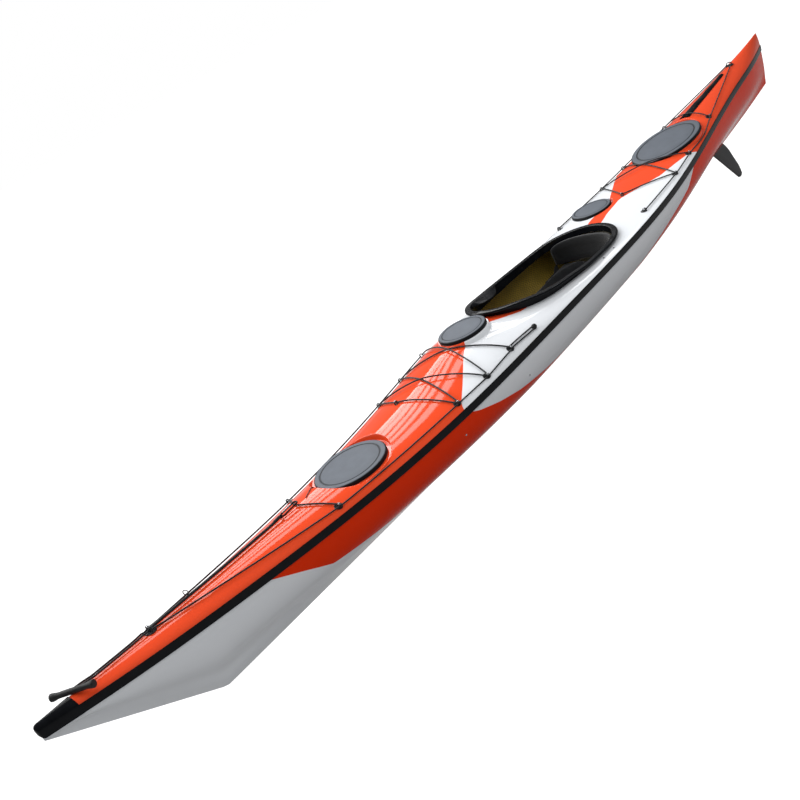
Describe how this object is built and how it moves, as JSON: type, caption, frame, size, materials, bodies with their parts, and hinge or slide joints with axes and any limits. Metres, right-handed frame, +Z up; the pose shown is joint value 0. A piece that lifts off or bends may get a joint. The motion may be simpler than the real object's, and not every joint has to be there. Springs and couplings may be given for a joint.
{
  "type": "sea kayak",
  "caption": "Composite sea kayak with a keyhole cockpit, sealed hatches, deck lines, a drop-down skeg and a bow carrying toggle.",
  "frame": {"origin": "below the middle of the length, on the centre plane, at the level of the lowered skeg's tip", "axes": "+X towards the bow, +Y to port, +Z up"},
  "size_m": [5.06, 0.5578, 0.5955],
  "materials": {
    "hull": "glossy red gelcoat with white panels",
    "deck": "glossy orange-red gelcoat with white panels",
    "black_gloss": "glossy black gelcoat",
    "rubber": "matt black moulded rubber and plastic",
    "cover": "matt grey moulded rubber",
    "cord": "black braided cord",
    "laminate": "bare pale laminate",
    "foam": "black closed-cell foam",
    "metal": "satin anodised aluminium and stainless steel"
  },
  "bodies": {
    "boat": {"hull_shell": "hull", "deck_shell": "deck", "skeg_case": "rubber", "skeg_pin": "metal", "seam_band": "black_gloss", "bow_cap": "black_gloss", "bulkhead_front": "laminate", "bulkhead_cockpit": "laminate", "bulkhead_day": "laminate", "bow_hatch_rim": "rubber", "knee_hatch_rim": "rubber", "day_hatch_rim": "rubber", "stern_hatch_rim": "rubber", "knee_pod": "laminate", "coaming": "black_gloss", "seat": "foam", "foot_rail_port": "metal", "foot_rail_starboard": "metal", "deck_line_fore_port": "cord", "deck_line_fore_starboard": "cord", "deck_line_aft_port": "cord", "deck_line_aft_starboard": "cord", "bungee_fore": "cord", "bungee_aft": "cord", "bungee_stern": "cord", "bungee_bow": "cord", "paddle_park": "cord", "painter": "cord", "snap_clip": "black_gloss", "bow_eye": "rubber", "stern_eye": "rubber", "fitting_bow_port": "rubber", "fitting_bow_starboard": "rubber", "fitting_fore_port": "rubber", "fitting_fore_starboard": "rubber", "fitting_knee_port": "rubber", "fitting_knee_starboard": "rubber", "fitting_cockpit_port": "rubber", "fitting_cockpit_starboard": "rubber", "fitting_seat_port": "rubber", "fitting_seat_starboard": "rubber", "fitting_day_port": "rubber", "fitting_day_starboard": "rubber", "fitting_aft_port": "rubber", "fitting_aft_starboard": "rubber", "fitting_stern_port": "rubber", "fitting_stern_starboard": "rubber", "stern_deck_strip": "black_gloss", "skeg_track": "rubber"},
    "skeg": {"skeg_blade": "rubber"},
    "slider": {"skeg_knob": "black_gloss"},
    "bow_cover": {"bow_hatch_cover": "cover"},
    "knee_cover": {"knee_hatch_cover": "cover"},
    "day_cover": {"day_hatch_cover": "cover"},
    "stern_cover": {"stern_hatch_cover": "cover"},
    "pedal_port": {"foot_pedal_port": "rubber"},
    "pedal_starboard": {"foot_pedal_starboard": "rubber"},
    "back_rest": {"back_band": "foam"},
    "toggle": {"bow_toggle": "rubber", "toggle_cord": "cord"}
  },
  "joints": [
    {"name": "skeg_swing", "type": "hinge", "parent": "boat", "child": "skeg", "pos_m": [-1.68444, 0, 0.2573], "axis": [0, 1, 0], "range_deg": [0, 56]},
    {"name": "skeg_slider", "type": "slide", "parent": "boat", "child": "slider", "axis": [0.9994, -0.005, 0.0349], "range_m": [0, 0.1]},
    {"name": "bow_cover_lift", "type": "slide", "parent": "boat", "child": "bow_cover", "axis": [0, 0, 1], "range_m": [0, 0.2]},
    {"name": "knee_cover_lift", "type": "slide", "parent": "boat", "child": "knee_cover", "axis": [0, 0, 1], "range_m": [0, 0.2]},
    {"name": "day_cover_lift", "type": "slide", "parent": "boat", "child": "day_cover", "axis": [0, 0, 1], "range_m": [0, 0.2]},
    {"name": "stern_cover_lift", "type": "slide", "parent": "boat", "child": "stern_cover", "axis": [0.06, 0, 0.9982], "range_m": [0, 0.2]},
    {"name": "pedal_port_slide", "type": "slide", "parent": "boat", "child": "pedal_port", "axis": [0.9962, -0.0866, 0], "range_m": [-0.12, 0.12]},
    {"name": "pedal_starboard_slide", "type": "slide", "parent": "boat", "child": "pedal_starboard", "axis": [0.9962, 0.0866, 0], "range_m": [-0.12, 0.12]},
    {"name": "back_band_fold", "type": "hinge", "parent": "boat", "child": "back_rest", "pos_m": [-0.25426, 0, 0.3033], "axis": [0, 1, 0], "range_deg": [0, 50]},
    {"name": "toggle_swing", "type": "hinge", "parent": "boat", "child": "toggle", "pos_m": [2.16381, 0, 0.5609], "axis": [0, -1, 0], "range_deg": [0, 110]}
  ],
  "couplings": [
    {"joint": "skeg_slider", "follows": "skeg_swing", "m_per_rad": 0.1023}
  ]
}
